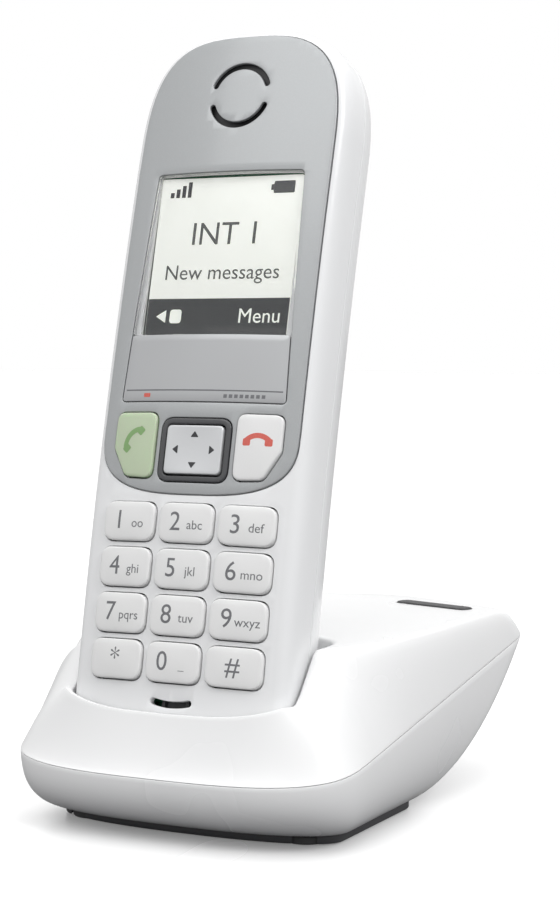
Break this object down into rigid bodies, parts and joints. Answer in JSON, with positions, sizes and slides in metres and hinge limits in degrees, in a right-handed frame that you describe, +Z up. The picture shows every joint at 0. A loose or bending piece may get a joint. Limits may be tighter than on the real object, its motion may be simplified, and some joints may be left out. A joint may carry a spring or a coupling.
{
  "type": "cordless phone with base",
  "caption": "White cordless telephone handset with a silver faceplate, display and keypad, standing tilted back in a low charging base with an overhanging stern.",
  "frame": {"origin": "on the surface that the base stands on, at the middle of the base's outline", "axes": "+X to the right seen from the keypad side, +Y towards the back, +Z up; the handset leans back by 13.9 degrees"},
  "size_m": [0.073, 0.11, 0.156],
  "materials": {
    "white_gloss": "glossy white ABS",
    "white_satin": "smooth white ABS",
    "silver_pearl": "silver-grey pearl lacquer",
    "key_white": "white key caps with printed grey figures",
    "talk_green": "translucent green cap",
    "nav_silver": "silver lacquer",
    "dark_plastic": "fine-grained black plastic",
    "sole_grey": "dark grey textured plastic",
    "window_clear": "clear acrylic window",
    "lcd_grey": "liquid-crystal panel",
    "light_guide": "milky light guide",
    "rubber_grey": "matt rubber",
    "board_green": "solder-masked circuit board",
    "plated_steel": "nickel-plated steel",
    "cell_wrap": "printed cell sleeve"
  },
  "bodies": {
    "base": {"base_top_shell": "white_satin", "base_bottom_shell": "white_satin", "base_sole": "sole_grey", "foot_front_left": "rubber_grey", "foot_front_right": "rubber_grey", "foot_rear_left": "rubber_grey", "foot_rear_right": "rubber_grey", "base_screw_left": "plated_steel", "base_screw_right": "plated_steel", "base_circuit_board": "board_green", "base_antenna": "plated_steel", "power_socket": "dark_plastic", "line_socket": "dark_plastic"},
    "handset": {"handset_front_shell": "white_gloss", "handset_rear_shell": "white_gloss", "faceplate": "silver_pearl", "display_window": "window_clear", "lcd_panel": "lcd_grey", "lcd_backlight": "light_guide", "nav_frame": "dark_plastic", "keypad_mat": "rubber_grey", "handset_circuit_board": "board_green", "earpiece_mesh": "dark_plastic", "earpiece_speaker": "plated_steel", "ringer_speaker": "dark_plastic", "microphone": "plated_steel", "microphone_boot": "rubber_grey", "handset_antenna": "plated_steel", "handset_contact_left": "plated_steel", "handset_contact_right": "plated_steel", "handset_screw_left": "plated_steel", "handset_screw_right": "plated_steel", "battery_cell_left": "cell_wrap", "battery_cell_right": "cell_wrap", "battery_spring_left": "plated_steel", "battery_spring_right": "plated_steel", "cell_link_plate": "plated_steel"},
    "battery_cover": {"battery_cover": "white_gloss"},
    "charge_contact_left": {"charge_contact_left": "plated_steel"},
    "charge_contact_right": {"charge_contact_right": "plated_steel"},
    "paging_key": {"paging_key": "dark_plastic"},
    "nav_key_pivot": {"nav_key_pivot": "dark_plastic"},
    "nav_key": {"nav_key": "nav_silver"},
    "talk_key": {"talk_key": "talk_green"},
    "end_key": {"end_key": "key_white"},
    "key_1": {"key_1": "key_white"},
    "key_2": {"key_2": "key_white"},
    "key_3": {"key_3": "key_white"},
    "key_4": {"key_4": "key_white"},
    "key_5": {"key_5": "key_white"},
    "key_6": {"key_6": "key_white"},
    "key_7": {"key_7": "key_white"},
    "key_8": {"key_8": "key_white"},
    "key_9": {"key_9": "key_white"},
    "key_star": {"key_star": "key_white"},
    "key_0": {"key_0": "key_white"},
    "key_hash": {"key_hash": "key_white"}
  },
  "joints": [
    {"name": "handset_lift", "type": "slide", "parent": "base", "child": "handset", "axis": [0, 0.2406, 0.9706], "range_m": [0, 0.045]},
    {"name": "battery_cover_hinge", "type": "hinge", "parent": "handset", "child": "battery_cover", "pos_m": [0, -0.01699, 0.0412], "axis": [-1, 0, 0], "range_deg": [0, 60]},
    {"name": "nav_tilt_up_down", "type": "hinge", "parent": "handset", "child": "nav_key_pivot", "pos_m": [0, -0.03353, 0.07249], "axis": [1, 0, 0], "range_deg": [-2.5, 2.5], "stiffness_Nm_per_rad": 0.08},
    {"name": "nav_tilt_left_right", "type": "hinge", "parent": "nav_key_pivot", "child": "nav_key", "pos_m": [0, -0.03353, 0.07249], "axis": [0, 0.2406, 0.9706], "range_deg": [-2.5, 2.5], "stiffness_Nm_per_rad": 0.08},
    {"name": "key_1_press", "type": "slide", "parent": "handset", "child": "key_1", "axis": [0, 0.9706, -0.2406], "range_m": [0, 0.0006], "stiffness_N_per_m": 1500},
    {"name": "key_2_press", "type": "slide", "parent": "handset", "child": "key_2", "axis": [0, 0.9706, -0.2406], "range_m": [0, 0.0006], "stiffness_N_per_m": 1500},
    {"name": "key_3_press", "type": "slide", "parent": "handset", "child": "key_3", "axis": [0, 0.9706, -0.2406], "range_m": [0, 0.0006], "stiffness_N_per_m": 1500},
    {"name": "key_4_press", "type": "slide", "parent": "handset", "child": "key_4", "axis": [0, 0.9706, -0.2406], "range_m": [0, 0.0006], "stiffness_N_per_m": 1500},
    {"name": "key_5_press", "type": "slide", "parent": "handset", "child": "key_5", "axis": [0, 0.9706, -0.2406], "range_m": [0, 0.0006], "stiffness_N_per_m": 1500},
    {"name": "key_6_press", "type": "slide", "parent": "handset", "child": "key_6", "axis": [0, 0.9706, -0.2406], "range_m": [0, 0.0006], "stiffness_N_per_m": 1500},
    {"name": "key_7_press", "type": "slide", "parent": "handset", "child": "key_7", "axis": [0, 0.9706, -0.2406], "range_m": [0, 0.0006], "stiffness_N_per_m": 1500},
    {"name": "key_8_press", "type": "slide", "parent": "handset", "child": "key_8", "axis": [0, 0.9706, -0.2406], "range_m": [0, 0.0006], "stiffness_N_per_m": 1500},
    {"name": "key_9_press", "type": "slide", "parent": "handset", "child": "key_9", "axis": [0, 0.9706, -0.2406], "range_m": [0, 0.0006], "stiffness_N_per_m": 1500},
    {"name": "key_star_press", "type": "slide", "parent": "handset", "child": "key_star", "axis": [0, 0.9706, -0.2406], "range_m": [0, 0.0006], "stiffness_N_per_m": 1500},
    {"name": "key_0_press", "type": "slide", "parent": "handset", "child": "key_0", "axis": [0, 0.9706, -0.2406], "range_m": [0, 0.0006], "stiffness_N_per_m": 1500},
    {"name": "key_hash_press", "type": "slide", "parent": "handset", "child": "key_hash", "axis": [0, 0.9706, -0.2406], "range_m": [0, 0.0006], "stiffness_N_per_m": 1500},
    {"name": "talk_key_press", "type": "slide", "parent": "handset", "child": "talk_key", "axis": [0, 0.9706, -0.2406], "range_m": [0, 0.0006], "stiffness_N_per_m": 1500},
    {"name": "end_key_press", "type": "slide", "parent": "handset", "child": "end_key", "axis": [0, 0.9706, -0.2406], "range_m": [0, 0.0006], "stiffness_N_per_m": 1500},
    {"name": "paging_key_press", "type": "slide", "parent": "base", "child": "paging_key", "axis": [0, 0, -1], "range_m": [0, 0.0006], "stiffness_N_per_m": 1500},
    {"name": "charge_contact_left_press", "type": "slide", "parent": "base", "child": "charge_contact_left", "axis": [0, 0, -1], "range_m": [0, 0.0008], "stiffness_N_per_m": 500},
    {"name": "charge_contact_right_press", "type": "slide", "parent": "base", "child": "charge_contact_right", "axis": [0, 0, -1], "range_m": [0, 0.0008], "stiffness_N_per_m": 500}
  ]
}
